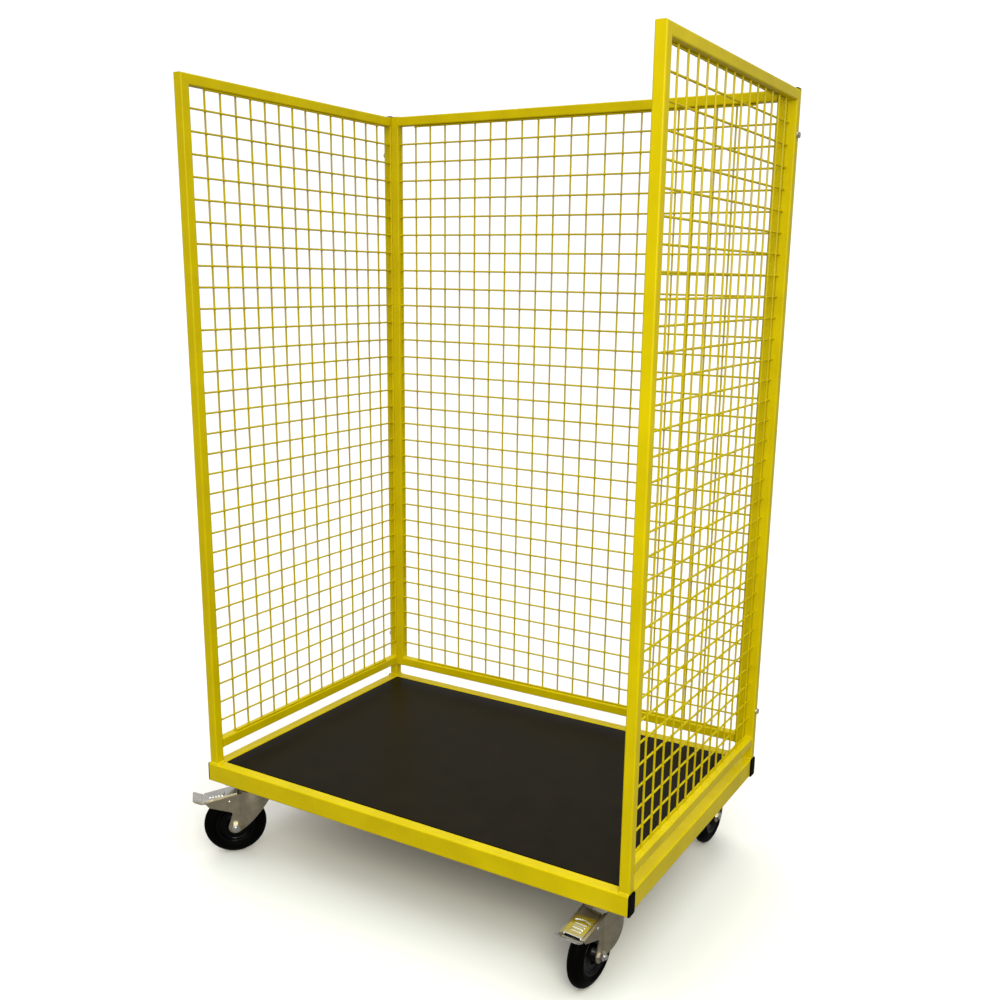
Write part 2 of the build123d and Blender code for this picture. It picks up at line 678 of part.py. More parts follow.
def brake_shoe(castor):
    """Block under the pad, hollowed to the tyre's round as it stands when pressed."""
    fall = (PAD_END[1] - PAD_START[1]) / (PAD_END[0] - PAD_START[0])
    drop = PEDAL_SHEET * hypot(1, fall)
    turn = radians(PEDAL_STROKE)
    back, down = TRAIL - PEDAL_PIVOT[0], WHEEL_RADIUS - PEDAL_PIVOT[1]
    centre = (
        PEDAL_PIVOT[0] + back * cos(turn) - down * sin(turn),
        PEDAL_PIVOT[1] + back * sin(turn) + down * cos(turn),
    )
    under_pad = [(t, PAD_START[1] + fall * (t - PAD_START[0]) - drop) for t in SHOE_SPAN]
    with BuildPart() as shoe:
        with BuildSketch(side_view(castor)):
            with BuildLine():
                Polyline(*under_pad, (SHOE_SPAN[1], centre[1]), (SHOE_SPAN[0], centre[1]), close=True)
            make_face()
            with Locations(centre):
                Circle(WHEEL_RADIUS + SHOE_PLAY, mode=Mode.SUBTRACT)
        extrude(amount=SHOE_HALF, both=True)
    return shoe.part


def fixed_fork(castor):
    """Rear fork: top plate and two tapered legs in one pressing."""
    face = side_view(castor)
    with BuildPart() as fork:
        with BuildSketch(Plane((castor.origin.X, castor.origin.Y, PLATE_UNDER))):
            castor_plate_section()
        extrude(amount=CASTOR_PLATE[2])
        for edge in (CHEEK_INSIDE, -CHEEK):
            with BuildSketch(face.offset(edge)):
                with BuildLine():
                    Polyline(
                        (-FIXED_LEG_TOP_HALF, PLATE_UNDER), (FIXED_LEG_TOP_HALF, PLATE_UNDER),
                        (TOE_RADIUS, WHEEL_RADIUS), (-TOE_RADIUS, WHEEL_RADIUS), close=True,
                    )
                make_face()
                with Locations((0, WHEEL_RADIUS)):
                    Circle(TOE_RADIUS)
                    Circle(AXLE_RADIUS + THREAD_PLAY, mode=Mode.SUBTRACT)
            extrude(amount=SHEET)
    return fork.part


# Front castors
for side, hand, heading in (("left", -1, LEFT_HEADING), ("right", 1, RIGHT_HEADING)):
    name = f"front_{side}"
    castor = castor_plane(hand * FRONT_CASTOR[0], FRONT_CASTOR[1], heading)
    save(swivel_plate(hand * FRONT_CASTOR[0], FRONT_CASTOR[1]), f"{name}_castor_plate")
    save(swivel_fork(castor), f"{name}_fork")
    save(axle_bolt(castor, TRAIL), f"{name}_axle_bolt")
    save(axle_nut(castor, TRAIL), f"{name}_axle_nut")
    save(pedal_rivets(castor), f"{name}_pedal_rivets")
    save(brake_pedal(castor), f"{name}_brake_pedal")
    save(brake_shoe(castor), f"{name}_brake_shoe")
    save_wheel(name, castor, TRAIL)

# Rear castors, with their axle bolts and nuts in pairs
rear_castors = [castor_plane(hand * REAR_CASTOR[0], REAR_CASTOR[1], REAR_HEADING) for hand in (-1, 1)]
for side, castor in zip(("left", "right"), rear_castors):
    save(fixed_fork(castor), f"rear_{side}_fork")
    save_wheel(f"rear_{side}", castor, 0)

with BuildPart() as rear_axle_bolts:
    for castor in rear_castors:
        add(axle_bolt(castor, 0))
save(rear_axle_bolts.part, "rear_axle_bolts")

with BuildPart() as rear_axle_nuts:
    for castor in rear_castors:
        add(axle_nut(castor, 0))
save(rear_axle_nuts.part, "rear_axle_nuts")
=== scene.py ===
import json
import math

import bpy
import numpy as np
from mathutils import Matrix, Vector


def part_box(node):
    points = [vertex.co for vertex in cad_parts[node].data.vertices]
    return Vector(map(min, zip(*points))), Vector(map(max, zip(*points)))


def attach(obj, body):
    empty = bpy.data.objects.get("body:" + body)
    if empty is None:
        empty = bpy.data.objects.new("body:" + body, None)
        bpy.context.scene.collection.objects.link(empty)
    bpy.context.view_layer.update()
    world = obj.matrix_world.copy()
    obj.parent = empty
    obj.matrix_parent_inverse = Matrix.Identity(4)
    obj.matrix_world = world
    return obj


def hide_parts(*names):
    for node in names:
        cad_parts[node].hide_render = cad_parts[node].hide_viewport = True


# The open-sided mesh trolley, dressed around its CAD frame. Metres, Z up, floor at Z = 0.
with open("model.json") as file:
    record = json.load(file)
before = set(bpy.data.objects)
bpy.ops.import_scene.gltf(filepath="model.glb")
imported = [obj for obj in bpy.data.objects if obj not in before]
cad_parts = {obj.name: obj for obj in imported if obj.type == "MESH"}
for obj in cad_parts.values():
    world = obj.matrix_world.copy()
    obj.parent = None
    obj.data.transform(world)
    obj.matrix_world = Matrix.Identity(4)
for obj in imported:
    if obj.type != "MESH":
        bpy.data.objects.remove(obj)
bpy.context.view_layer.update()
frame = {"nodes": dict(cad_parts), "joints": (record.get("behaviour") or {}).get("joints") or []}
joints = {joint["name"]: joint for joint in frame["joints"]}

MM = 0.001
UP = np.array((0.0, 0.0, 1.0))
RIGHT = np.array((1.0, 0.0, 0.0))
BACK = np.array((0.0, 1.0, 0.0))
SHARP_ANGLE = math.radians(38)


# Materials

def linear(code):
    """An sRGB hex colour as linear red, green, blue and full alpha."""
    channels = np.array([int(code[i:i + 2], 16) for i in (1, 3, 5)]) / 255
    low, high = channels / 12.92, ((channels + 0.055) / 1.055) ** 2.4
    return (*np.where(channels <= 0.04045, low, high), 1.0)


def node(tree, kind, inputs, **settings):
    """Add one node: settings are its properties, inputs are values or other nodes' outputs."""
    made = tree.nodes.new(kind)
    for key, value in settings.items():
        setattr(made, key, value)
    for key, value in inputs.items():
        if isinstance(value, bpy.types.NodeSocket):
            tree.links.new(value, made.inputs[key])
        else:
            made.inputs[key].default_value = value
    return made


def finish(name, build):
    """A material whose surface comes from build, which is given the tree and object coordinates."""
    made = bpy.data.materials.new(name)
    made.use_nodes = True
    tree = made.node_tree
    tree.nodes.clear()
    place = node(tree, "ShaderNodeTexCoord", {}).outputs["Object"]
    node(tree, "ShaderNodeOutputMaterial", {"Surface": build(tree, place).outputs["BSDF"]})
    return made


def powder(tree, place, dark, light):
    """Polyester powder on steel: a satin skin with orange peel and slightly uneven cover.
    Real orange peel waves are about 3 mm long, drawn at 7 mm so that they show."""
    peel = node(tree, "ShaderNodeTexNoise", {"Vector": place, "Scale": 1 / (7 * MM), "Detail": 2.0})
    cover = node(tree, "ShaderNodeTexNoise", {"Vector": place, "Scale": 1 / (90 * MM), "Detail": 3.0})
    tone = node(tree, "ShaderNodeValToRGB", {"Fac": cover.outputs["Fac"]})
    tone.color_ramp.elements[0].position = 0.35
    tone.color_ramp.elements[0].color = linear(dark)
    tone.color_ramp.elements[1].position = 0.65
    tone.color_ramp.elements[1].color = linear(light)
    gloss = node(tree, "ShaderNodeMapRange", {"Value": peel.outputs["Fac"], "To Min": 0.24, "To Max": 0.36})
    bump = node(tree, "ShaderNodeBump", {
        "Height": peel.outputs["Fac"], "Strength": 0.12, "Distance": 0.3 * MM})
    return node(tree, "ShaderNodeBsdfPrincipled", {
        "Base Color": tone.outputs["Color"], "Roughness": gloss.outputs["Result"], "IOR": 1.5,
        "Specular IOR Level": 0.12, "Normal": bump.outputs["Normal"]})


def powder_coat(tree, place):
    """Yellow powder on the tubes, full and even."""
    return powder(tree, place, "#C9B300", "#D3BD00")


def shaded_wire_coat(tree, place):
    """The same yellow on the wires, painted a little darker than the tubes' yellow to stand in for the
    shade that the wire panels lie in.
    """
    return powder(tree, place, "#BCA700", "#C5B100")


def zinc(tree, place, dark, light, rough_low, rough_high, grain):
    """Zinc plate on pressed sheet: a satin metal, cloudy from the bath, with fine plating grain."""
    cloud = node(tree, "ShaderNodeTexNoise", {"Vector": place, "Scale": 1 / (18 * MM), "Detail": 4.0})
    fine = node(tree, "ShaderNodeTexNoise", {"Vector": place, "Scale": 1 / grain, "Detail": 2.0})
    tone = node(tree, "ShaderNodeValToRGB", {"Fac": cloud.outputs["Fac"]})
    tone.color_ramp.elements[0].position = 0.3
    tone.color_ramp.elements[0].color = linear(dark)
    tone.color_ramp.elements[1].position = 0.7
    tone.color_ramp.elements[1].color = linear(light)
    gloss = node(tree, "ShaderNodeMapRange", {
        "Value": fine.outputs["Fac"], "To Min": rough_low, "To Max": rough_high})
    bump = node(tree, "ShaderNodeBump", {
        "Height": fine.outputs["Fac"], "Strength": 0.1, "Distance": 0.2 * MM})
    return node(tree, "ShaderNodeBsdfPrincipled", {
        "Base Color": tone.outputs["Color"], "Metallic": 1.0, "Roughness": gloss.outputs["Result"],
        "Normal": bump.outputs["Normal"]})


def shade_darkened_plated_sheet(tree, place):
    """Zinc-plated pressed steel of the forks and plates: dull zinc, painted darker and faintly browner than
    bare zinc to stand in for the shade and dim surroundings seen on the fork cheeks.
    """
    return zinc(tree, place, "#A99F86", "#BAB09A", 0.32, 0.48, 2.5 * MM)


def lit_plated_pedal(tree, place):
    """Zinc-plated steel of the pedals, pressed and tumbled, so shinier than the forks, and painted paler
    than the forks to stand in for the bright light that their pads reflect.
    """
    return zinc(tree, place, "#DAD8CF", "#E8E6DF", 0.13, 0.22, 2.5 * MM)


def plated_bolt(tree, place):
    """Bright zinc-plated bolts and nuts, paler and shinier than the sheet."""
    return zinc(tree, place, "#C9C8C2", "#DEDDD8", 0.2, 0.32, 2 * MM)


def moulded(tree, place, dark, light, rough_low, rough_high, shine, grain, depth):
    """A moulding: one colour with a faint mottle, and a fine grain that breaks up its shine."""
    fine = node(tree, "ShaderNodeTexNoise", {"Vector": place, "Scale": 1 / grain, "Detail": 3.0})
    tone = node(tree, "ShaderNodeValToRGB", {"Fac": fine.outputs["Fac"]})
    tone.color_ramp.elements[0].color = linear(dark)
    tone.color_ramp.elements[1].color = linear(light)
    gloss = node(tree, "ShaderNodeMapRange", {
        "Value": fine.outputs["Fac"], "To Min": rough_low, "To Max": rough_high})
    bump = node(tree, "ShaderNodeBump", {
        "Height": fine.outputs["Fac"], "Strength": 0.2, "Distance": depth})
    return node(tree, "ShaderNodeBsdfPrincipled", {
        "Base Color": tone.outputs["Color"], "Roughness": gloss.outputs["Result"], "IOR": 1.5,
        "Specular IOR Level": shine, "Normal": bump.outputs["Normal"]})


def cap_plastic(tree, place):
    """Polyethylene end caps, moulded with a fine leather grain."""
    return moulded(tree, place, "#020202", "#050504", 0.4, 0.6, 0.025, 1.6 * MM, 0.15 * MM)


def tyre_rubber(tree, place):
    """Solid black rubber, dull, with a dusty mottle."""
    return moulded(tree, place, "#020201", "#050403", 0.4, 0.6, 0.03, 3 * MM, 0.2 * MM)


def rim_plastic(tree, place):
    """Polypropylene rim, smooth and a little shinier than the tyre."""
    return moulded(tree, place, "#020202", "#040404", 0.1, 0.16, 0.11, 5 * MM, 0.05 * MM)


def bush_plastic(tree, place):
    """Pale nylon of the plain bearing, waxy."""
    return moulded(tree, place, "#8F8F8C", "#A4A4A0", 0.35, 0.5, 0.4, 2 * MM, 0.05 * MM)


def film_board(tree, place):
    """Phenolic film on birch plywood: dark brown, with a fine non-slip print pressed in by a wire sheet.
    The print is about 1.5 mm fine, drawn at 4 mm so that it shows."""
    print_grain = node(tree, "ShaderNodeTexVoronoi", {"Vector": place, "Scale": 1 / (4 * MM)})
    cloud = node(tree, "ShaderNodeTexNoise", {"Vector": place, "Scale": 1 / (70 * MM), "Detail": 4.0})
    tone = node(tree, "ShaderNodeValToRGB", {"Fac": cloud.outputs["Fac"]})
    tone.color_ramp.elements[0].position = 0.3
    tone.color_ramp.elements[0].color = linear("#141009")
    tone.color_ramp.elements[1].position = 0.75
    tone.color_ramp.elements[1].color = linear("#1C170D")
    gloss = node(tree, "ShaderNodeMapRange", {"Value": cloud.outputs["Fac"], "To Min": 0.3, "To Max": 0.42})
    bump = node(tree, "ShaderNodeBump", {
        "Height": print_grain.outputs["Distance"], "Strength": 0.12, "Distance": 0.3 * MM})
    return node(tree, "ShaderNodeBsdfPrincipled", {
        "Base Color": tone.outputs["Color"], "Roughness": gloss.outputs["Result"], "IOR": 1.5,
        "Specular IOR Level": 0.06, "Normal": bump.outputs["Normal"]})


finishes = {
    "yellow_powder_coat": finish("yellow_polyester_powder_coat", powder_coat),
    "wire_powder_coat": finish("shade_darkened_yellow_powder_coat", shaded_wire_coat),
    "zinc_plated_steel": finish("shade_darkened_zinc_sheet", shade_darkened_plated_sheet),
    "pedal_zinc": finish("painted_light_zinc_pedal", lit_plated_pedal),
    "bright_bolt_zinc": finish("bright_zinc_fastener", plated_bolt),
    "black_plastic": finish("moulded_black_polyethylene", cap_plastic),
    "film_faced_board": finish("phenolic_film_plywood", film_board),
    "black_rubber": finish("solid_black_rubber", tyre_rubber),
    "rim_plastic": finish("moulded_black_polypropylene", rim_plastic),
    "bush_plastic": finish("pale_nylon", bush_plastic),
}

MERGE_REACH = 0.01 * MM
EDGE_ROUND = {"fork": 0.6 * MM, "castor_plate": 0.6 * MM, "deck_board": 0.8 * MM, "panel_washers": 0.3 * MM}

for name, carried in frame["nodes"].items():
    slot = carried.data.materials[0].name
    carried.data.materials.clear()
    carried.data.materials.append(finishes[slot])
    for ending, width in EDGE_ROUND.items():
        if name.endswith(ending):
            joined = carried.modifiers.new("joined_corners", "WELD")
            joined.merge_threshold = MERGE_REACH
            rounded = carried.modifiers.new("rounded_edges", "BEVEL")
            rounded.width = width
            rounded.segments = 2
            rounded.limit_method = "ANGLE"
            rounded.angle_limit = SHARP_ANGLE


# Surfaces

def outward(points, loop):
    """Turn each patch's rings so that its faces point outwards: the volume between its side quads,
    and its two end fans unless the rows close into a loop, is made positive."""
    local = points - points.mean(axis=(1, 2), keepdims=True)
    beside = np.roll(local, -1, axis=2)
    lower, upper = local, np.roll(local, -1, axis=1)
    lower_beside, upper_beside = beside, np.roll(beside, -1, axis=1)
    if not loop:
        lower, upper, lower_beside, upper_beside = (
            grid[:, :-1] for grid in (lower, upper, lower_beside, upper_beside))
    volume = (lower * np.cross(lower_beside, upper_beside)).sum(axis=(1, 2, 3))
    volume += (lower * np.cross(upper_beside, upper)).sum(axis=(1, 2, 3))
    if not loop:
        for row, way in ((0, -1), (-1, 1)):
            middle = local[:, row].mean(axis=1, keepdims=True)
            volume += way * (middle * np.cross(local[:, row], beside[:, row])).sum(axis=(1, 2))
    return np.where((volume < 0)[:, None, None, None], points[:, :, ::-1], points)


def piece(name, grids, body, slot, stands_for=(), loop=False, look=None):
    """A closed mesh of quads over grids of points (patches, rows, columns, 3). Columns close into rings,
    and rows end in flat faces or, with loop, close into a torus. Its finish is the slot's, unless look
    names another."""
    corners, faces, start = [], [], 0
    for grid in grids:
        grid = outward(np.asarray(grid, float), loop)
        index = start + np.arange(grid[..., 0].size).reshape(grid.shape[:3])
        beside = np.roll(index, -1, axis=2)
        above, above_beside = np.roll(index, -1, axis=1), np.roll(beside, -1, axis=1)
        quads = np.stack((index, beside, above_beside, above), axis=-1)
        faces += (quads if loop else quads[:, :-1]).reshape(-1, 4).tolist()
        if not loop:
            faces += index[:, 0, ::-1].tolist() + index[:, -1].tolist()
        corners.append(grid.reshape(-1, 3))
        start += grid[..., 0].size
    mesh = bpy.data.meshes.new(name)
    mesh.from_pydata(np.concatenate(corners), [], faces)
    mesh.shade_smooth()
    mesh.set_sharp_from_angle(angle=SHARP_ANGLE)
    mesh.materials.append(finishes[look or slot])
    made = bpy.data.objects.new(name, mesh)
    bpy.context.scene.collection.objects.link(made)
    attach(made, body)
    if stands_for:
        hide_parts(*stands_for)
    return made


def corners_of(node_name):
    """The low and high corners of a CAD node's box."""
    return (np.array(corner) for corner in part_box(node_name))


def eased(points, rounds=3):
    """A polyline with its corners cut: each round keeps points a quarter and three quarters along every
    stretch, and both ends stay."""
    points = np.asarray(points, float)
    for _ in range(rounds):
        here, there = points[:-1], points[1:]
        cut = np.stack((0.75 * here + 0.25 * there, 0.25 * here + 0.75 * there), axis=1)
        points = np.concatenate((points[:1], cut.reshape(-1, points.shape[1]), points[-1:]))
    return points


def turned(profile, middle, axis, upright, columns=72):
    """A surface of revolution: profile points (place along the axis, radius) carried round the axis."""
    profile = np.asarray(profile, float)
    turn = np.arange(columns) / columns * 2 * math.pi
    spokes = np.cos(turn)[:, None] * upright + np.sin(turn)[:, None] * np.cross(axis, upright)
    return (middle + profile[:, :1, None] * axis + profile[:, 1:, None] * spokes)[None]


# Welded wire grids

WIRE_RADIUS = 2.45 * MM
WIRE_SIDES = 8
PITCH = 50 * MM
LAYER = 2.16 * MM
RAIL_WIRE_LIFT = 2.48 * MM
LEVEL_FIRST = 51 * MM
LEVEL_COUNT = 31
SWELL = 0.22
SWELL_REACH = 2.2 * MM
CROSSING_RINGS = np.array((-4.5, -2.0, 0.0, 2.0, 4.5)) * MM
END_SWELL = 0.4
END_RINGS = np.array((0.0, 1.0, 2.5, 5.0)) * MM


def wires(starts, way, across, length, crossings):
    """Round wires: a circle carried along straight lines. Its radius swells as a bell curve over each
    welded crossing, and flares towards both ends, where the wire is welded on."""
    ends = np.concatenate((END_RINGS, length - END_RINGS))
    places = np.concatenate(((crossings[:, None] + CROSSING_RINGS).ravel(), ends))
    places = np.unique(places[(places >= 0) & (places <= length)].round(6))
    swell = SWELL * np.exp(-((places[:, None] - crossings) / SWELL_REACH) ** 2).max(axis=1)
    swell += END_SWELL * np.exp(-np.minimum(places, length - places) / SWELL_REACH)
    turn = np.arange(WIRE_SIDES) / WIRE_SIDES * 2 * math.pi
    circle = np.cos(turn)[:, None] * across + np.sin(turn)[:, None] * np.cross(way, across)
    tube = places[:, None, None] * way + (WIRE_RADIUS * (1 + swell))[:, None, None] * circle
    return np.asarray(starts)[:, None, None] + tube


def wire_grid(name, node_name, along, outside, first, count, beside_posts):
    """A panel's grid in the opening that its CAD node fills: upright wires outside, level wires inside,
    one more level wire along each rail and, where asked, one more upright beside each post."""
    low, high = corners_of(node_name)
    middle = (low + high) / 2
    width, height = (high - low) @ along, high[2] - low[2]
    corner = middle - height / 2 * UP - width / 2 * along
    upright_places = first + np.arange(count) * PITCH
    level_places = LEVEL_FIRST + np.arange(LEVEL_COUNT) * PITCH
    rail_places = np.array((RAIL_WIRE_LIFT, height - RAIL_WIRE_LIFT))
    outer, inner = corner + LAYER * outside, corner - LAYER * outside
    grids = [
        wires(outer + upright_places[:, None] * along, UP, along, height, level_places),
        wires(inner + level_places[:, None] * UP, along, UP, width, upright_places),
        wires(inner + first * along + rail_places[:, None] * UP, along, UP,
              (count - 1) * PITCH, upright_places - first),
    ]
    if beside_posts:
        edge_places = np.array((first - PITCH, upright_places[-1] + PITCH))
        starts = outer + edge_places[:, None] * along + LEVEL_FIRST * UP
        grids.append(wires(starts, UP, along, (LEVEL_COUNT - 1) * PITCH, level_places - LEVEL_FIRST))
    piece(name, grids, "frame", "yellow_powder_coat", stands_for=[node_name], look="wire_powder_coat")


wire_grid("left_wire_grid", "left_mesh", BACK, -RIGHT, first=52.5 * MM, count=14, beside_posts=True)
wire_grid("right_wire_grid", "right_mesh", BACK, RIGHT, first=13.5 * MM, count=15, beside_posts=False)
wire_grid("rear_wire_grid", "rear_mesh", RIGHT, BACK, first=52.5 * MM, count=21, beside_posts=True)


# Plastic plugs in the tube ends

CAP_CORNER_POINTS = 7
CAP_BEND_POINTS = 7
CAP_CROWN_POINTS = 6
CAP_LEAST_CORNER = 0.3 * MM
CAP_CROWN_REACH = 0.46
RAIL_CAP_CORNER = 4 * MM
RAIL_CAP_EDGE = 1.0 * MM
RAIL_CAP_CROWN = 0.3 * MM
RAIL_PLUG_INSET = 2.2 * MM
RAIL_PLUG_DEPTH = 12 * MM
POST_CAP_SHY = 0.6 * MM
POST_CAP_CORNER = 3.2 * MM
POST_PLUG_INSET = 1.6 * MM
POST_PLUG_DEPTH = 10 * MM
DOMED_EDGE = 2.6 * MM
DOMED_CROWN = 0.8 * MM
FLUSH_EDGE = 0.6 * MM
FLUSH_CROWN = 0.3 * MM


def rounded_rectangle(size, corner, inset):
    """Points round a rectangle whose four corners are quarter circles, drawn in by an inset."""
    width, height = size[0] - 2 * inset, size[1] - 2 * inset
    radius = np.maximum(corner - inset, CAP_LEAST_CORNER)
    quarter = np.linspace(0, math.pi / 2, CAP_CORNER_POINTS)
    turn = (np.arange(4)[:, None] * math.pi / 2 + quarter).ravel()
    sign_x = np.repeat((1, -1, -1, 1), CAP_CORNER_POINTS)
    sign_y = np.repeat((1, 1, -1, -1), CAP_CORNER_POINTS)
    x = sign_x * (width / 2 - radius)[..., None] + radius[..., None] * np.cos(turn)
    y = sign_y * (height / 2 - radius)[..., None] + radius[..., None] * np.sin(turn)
    return x, y


def domed_cap(seat, way, wide, tall, size, corner, proud, edge, crown, plug_inset, plug_depth):
    """A plug with a domed face: a straight plug, then a rounded edge as a quarter circle, then a crown that
    rises as a parabola to the middle."""
    bend = np.linspace(0, math.pi / 2, CAP_BEND_POINTS)
    rise = np.linspace(0, 1, CAP_CROWN_POINTS)[1:]
    most_inset = CAP_CROWN_REACH * min(size)
    insets = np.concatenate((
        (plug_inset, plug_inset, 0), edge * (1 - np.cos(bend)), edge + rise * (most_inset - edge)))
    heights = np.concatenate((
        (-plug_depth, 0, 0), proud - crown - edge * (1 - np.sin(bend)),
        proud - crown * (1 - rise) ** 2))
    x, y = rounded_rectangle(size, corner, insets)
    return (seat + heights[:, None, None] * way + x[..., None] * wide + y[..., None] * tall)[None]


def rail_caps():
    """Domed plugs on both ends of the front and rear base rails."""
    _, caps_high = corners_of("base_rail_end_caps")
    grids = []
    for rail in ("base_front_rail", "base_rear_rail"):
        low, high = corners_of(rail)
        middle, size = (low + high) / 2, high - low
        for way in (-1, 1):
            seat = middle + way * size[0] / 2 * RIGHT
            grids.append(domed_cap(
                seat, way * RIGHT, BACK, UP, size[1:], RAIL_CAP_CORNER, caps_high[0] - high[0],
                RAIL_CAP_EDGE, RAIL_CAP_CROWN, RAIL_PLUG_INSET, RAIL_PLUG_DEPTH))
    piece("rail_end_plugs", grids, "frame", "black_plastic", stands_for=["base_rail_end_caps"])


def tube_caps():
    """Plugs on the open ends of the rear corners' posts: domed on the side panels, almost flush on the
    rear panel."""
    low_end, high_end = corners_of("post_caps")
    grids = []
    for post, ways in (("left_rear_post", (1,)), ("right_rear_post", (1,)),
                       ("rear_left_post", (1, -1)), ("rear_right_post", (1, -1))):
        low, high = corners_of(post)
        middle, size = (low + high) / 2, high - low
        domed = len(ways) == 1
        proud = high_end[2] - high[2] if domed else low[2] - low_end[2]
        edge, crown = (DOMED_EDGE, DOMED_CROWN) if domed else (FLUSH_EDGE, FLUSH_CROWN)
        for way in ways:
            seat = middle + way * size[2] / 2 * UP
            grids.append(domed_cap(
                seat, way * UP, RIGHT, BACK, size[:2] - POST_CAP_SHY, POST_CAP_CORNER, proud,
                edge, crown, POST_PLUG_INSET, POST_PLUG_DEPTH))
    piece("post_end_plugs", grids, "frame", "black_plastic", stands_for=["post_caps"])


rail_caps()
tube_caps()


# Weld beads

BEAD_STEP = 0.8 * MM
BEAD_RIPPLE = 2.6 * MM
BEAD_RIPPLE_SHARE = 0.07
BEAD_END_SHARE = 0.2
BEAD_SINK = 0.15
BEAD_FLATNESS = 1.35
BEAD_ARC = np.linspace(0, math.pi / 2, 7)
FOOT_BEAD = 3.6 * MM
RAIL_BEAD = 1.8 * MM
TUBE_CORNER = 3 * MM


def bead(start, end, first, second, leg):
    """A fillet weld in the corner between two faces with normals first and second: a flattened quarter
    ring, its size rippled as a sine along the run and drawn in as a quarter circle at both ends."""
    start, end = np.asarray(start), np.asarray(end)
    length = np.linalg.norm(end - start)
    places = np.linspace(0, length, int(length / BEAD_STEP) + 1)
    to_end = np.clip(np.minimum(places, length - places) / leg, 0, 1)
    size = leg * (1 + BEAD_RIPPLE_SHARE * np.sin(2 * math.pi * places / BEAD_RIPPLE))
    size *= BEAD_END_SHARE + (1 - BEAD_END_SHARE) * np.sqrt(1 - (1 - to_end) ** 2)
    along_first = np.concatenate(((-BEAD_SINK,), np.cos(BEAD_ARC) ** BEAD_FLATNESS))
    along_second = np.concatenate(((-BEAD_SINK,), np.sin(BEAD_ARC) ** BEAD_FLATNESS))
    section = along_first[:, None] * first + along_second[:, None] * second
    run = start + places[:, None] / length * (end - start)
    return (run[:, None] + size[:, None, None] * section)[None]


def post_feet():
    """Beads round the posts' feet on the base frame, on the sides where the frame is wide enough."""
    grids = []
    for side, hand in (("left", -1), ("right", 1)):
        for post, faces in ((f"{side}_front_post", (-1, 1)), (f"{side}_rear_post", (-1,))):
            low, high = corners_of(post)
            middle, half = (low + high) / 2, (high - low)[0] / 2
            foot = np.array((middle[0], middle[1], low[2]))
            for face in faces:
                edge = foot + face * half * BACK
                grids.append(bead(edge - half * RIGHT, edge + half * RIGHT, UP, face * BACK, FOOT_BEAD))
            edge = foot - hand * half * RIGHT
            grids.append(bead(edge - half * BACK, edge + half * BACK, UP, -hand * RIGHT, FOOT_BEAD))
    return grids


def rail_joints(rail, along, wide):
    """Beads where a panel rail's two ends meet the posts: on its upper, lower and two flat sides."""
    low, high = corners_of(rail)
    middle = (low + high) / 2
    half_length = (high - low) @ along / 2
    half = (high - low)[2] / 2
    flat = half - TUBE_CORNER
    grids = []
    for end in (-1, 1):
        joint = middle + end * half_length * along
        for normal, run in ((UP, wide), (-UP, wide), (wide, UP), (-wide, UP)):
            edge = joint + half * normal
            grids.append(bead(edge - flat * run, edge + flat * run, -end * along, normal, RAIL_BEAD))
    return grids


beads = post_feet()
for rail in ("left_bottom_rail", "right_bottom_rail"):
    beads += rail_joints(rail, BACK, RIGHT)
for rail in ("rear_bottom_rail", "rear_top_rail"):
    beads += rail_joints(rail, RIGHT, BACK)
piece("weld_beads", beads, "frame", "yellow_powder_coat")


# Hexagon bolts and nuts

HEX_COLUMNS = 48
HEX_CHAMFER = math.tan(math.radians(30))
HEX_FACE = 0.475
SHANK_COLUMNS = 24
THREAD_DEPTH = 0.55
THREAD_POINT = 0.6
PANEL_BOLT_ACROSS = 13 * MM
PANEL_BOLT_HEAD = 5.3 * MM
PANEL_BOLT_LENGTH = 40 * MM
PANEL_BOLT_RADIUS = 4 * MM
PANEL_BOLT_PITCH = 1.25 * MM
PANEL_BOLT_PLAIN = 20 * MM
PANEL_WASHER = 1.6 * MM
CASTOR_BOLT_ACROSS = 17 * MM
CASTOR_BOLT_HEAD = 6.4 * MM
CASTOR_BOLT_RADIUS = 5 * MM
CASTOR_BOLT_PITCH = 1.5 * MM
CASTOR_BOLT_PLAIN = 2 * MM
CASTOR_HOLES = (105 * MM, 80 * MM)


def hex_head(seat, way, upright, across, height):
    """A hexagon head or nut: the radius is half the width across flats over the cosine of the angle from
    the nearest flat, and a 30-degree cone cuts its upper edge."""
    turn = np.arange(HEX_COLUMNS) / HEX_COLUMNS * 2 * math.pi
    off_flat = (turn + math.pi / 6) % (math.pi / 3) - math.pi / 6
    edge = across / 2 / np.cos(off_flat)
    face = np.full_like(edge, HEX_FACE * across)
    radii = np.stack((edge, edge, face))
    shoulder = height - (edge - face) * HEX_CHAMFER
    heights = np.stack((np.zeros_like(edge), shoulder, np.full_like(edge, height)))
    spokes = np.cos(turn)[:, None] * upright + np.sin(turn)[:, None] * np.cross(way, upright)
    return (np.asarray(seat) + heights[..., None] * way + radii[..., None] * spokes)[None]


def shank(seat, way, upright, length, radius, pitch, plain):
    """A bolt's shank: plain, then threaded, where the radius swings between crest and root every half
    pitch."""
    turns = np.arange(plain, length - pitch, pitch / 2)
    depth = np.where(np.arange(len(turns)) % 2, THREAD_DEPTH * pitch, 0.0)
    places = np.concatenate(((0,), turns, (length - pitch / 2, length)))
    radii = radius - np.concatenate(((0,), depth, (0, THREAD_POINT * pitch)))
    return turned(np.stack((places, radii), axis=1), np.asarray(seat), way, upright, SHANK_COLUMNS)


